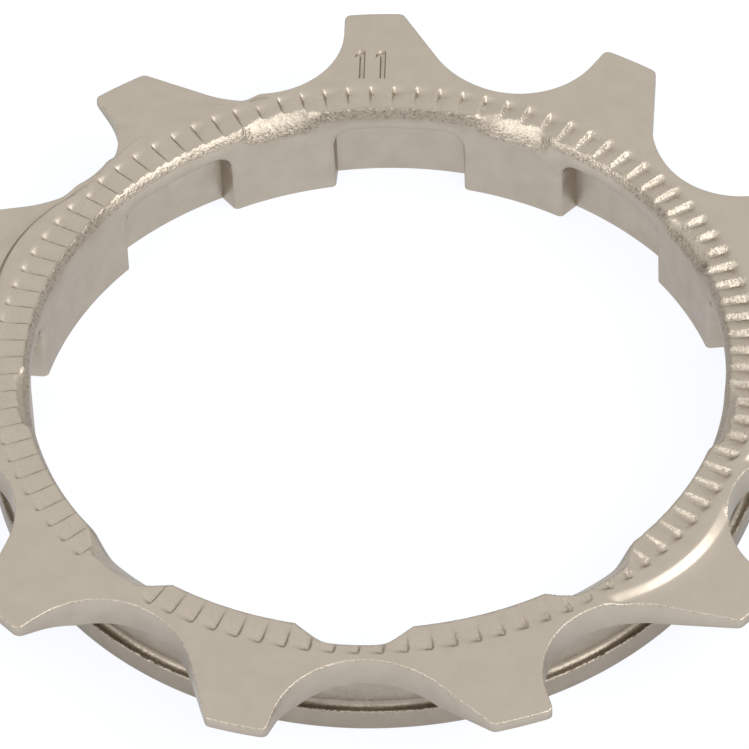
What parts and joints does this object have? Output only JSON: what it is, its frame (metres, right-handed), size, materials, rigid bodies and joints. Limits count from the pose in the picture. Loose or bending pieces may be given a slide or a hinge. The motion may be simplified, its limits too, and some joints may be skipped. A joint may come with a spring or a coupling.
{
  "type": "bicycle sprocket",
  "caption": "Small toothed ring for a bicycle chain, with a splined bore, a spacer flange on the inner side and a ratchet-serrated outer face for a lockring.",
  "frame": {"origin": "on the bore axis, in the plane of the flange face that rests against the next spacer", "axes": "+Z along the bore axis towards the outboard, serrated face; +Y through the centre of the first tooth; +X completes the right-handed frame"},
  "size_m": [0.0458, 0.0455, 0.005],
  "materials": {
    "steel": "satin nickel-plated steel, forged and machined"
  },
  "bodies": {
    "root": {"sprocket": "steel"}
  },
  "joints": []
}
